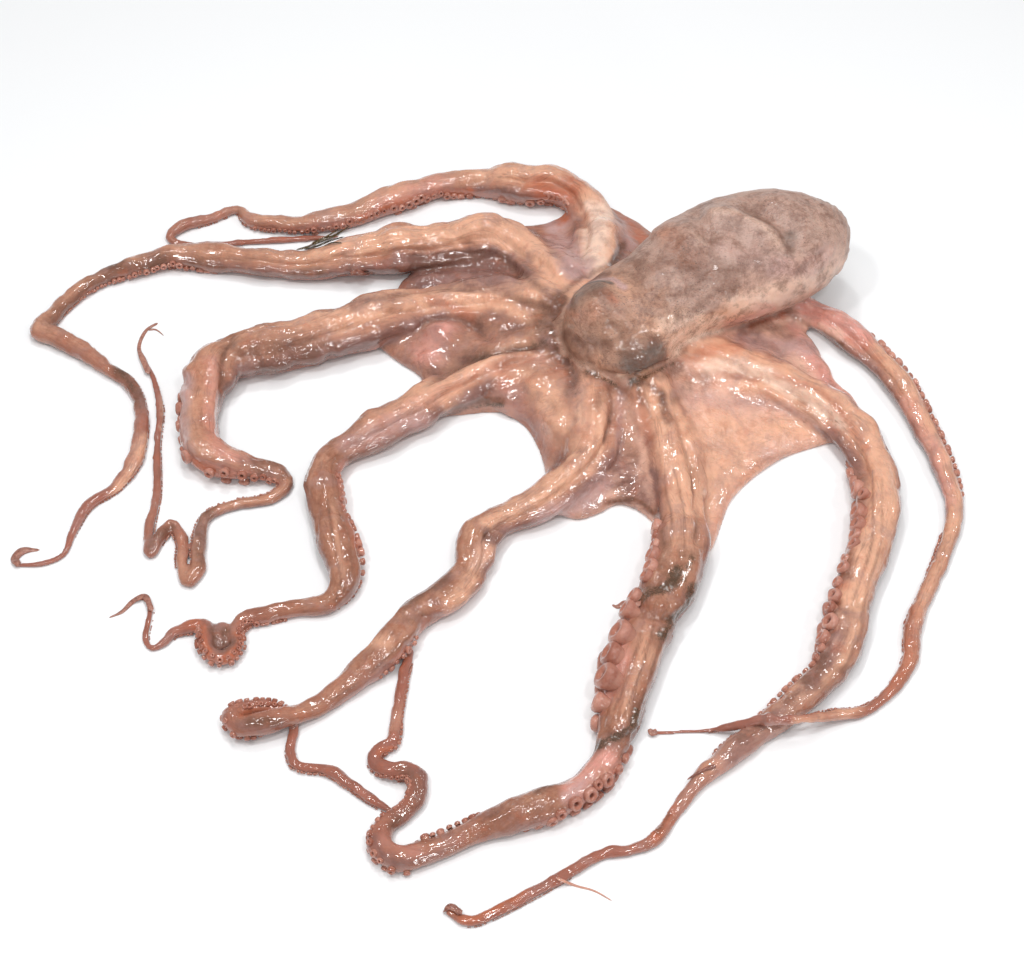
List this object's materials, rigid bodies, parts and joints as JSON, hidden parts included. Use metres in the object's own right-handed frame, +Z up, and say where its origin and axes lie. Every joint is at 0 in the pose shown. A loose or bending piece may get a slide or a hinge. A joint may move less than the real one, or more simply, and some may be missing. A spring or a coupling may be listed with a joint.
{
  "type": "whole raw octopus",
  "caption": "Whole raw octopus lying mouth down, its suckered arms spread and curled round it and its soft mantle flopped to one side.",
  "frame": {"origin": "middle of the footprint, on the surface the octopus lies on", "axes": "+Z up, +X to the right and +Y away when the head is seen from the front with the mantle lying to the right"},
  "size_m": [0.55, 0.5396, 0.0751],
  "materials": {
    "wet_skin": "wet raw skin, pale peach along the arms' backs, mauve-grey flanks, red-brown suckers and tips, greyish speckled mantle"
  },
  "bodies": {
    "root": {"octopus": "wet_skin"}
  },
  "joints": []
}
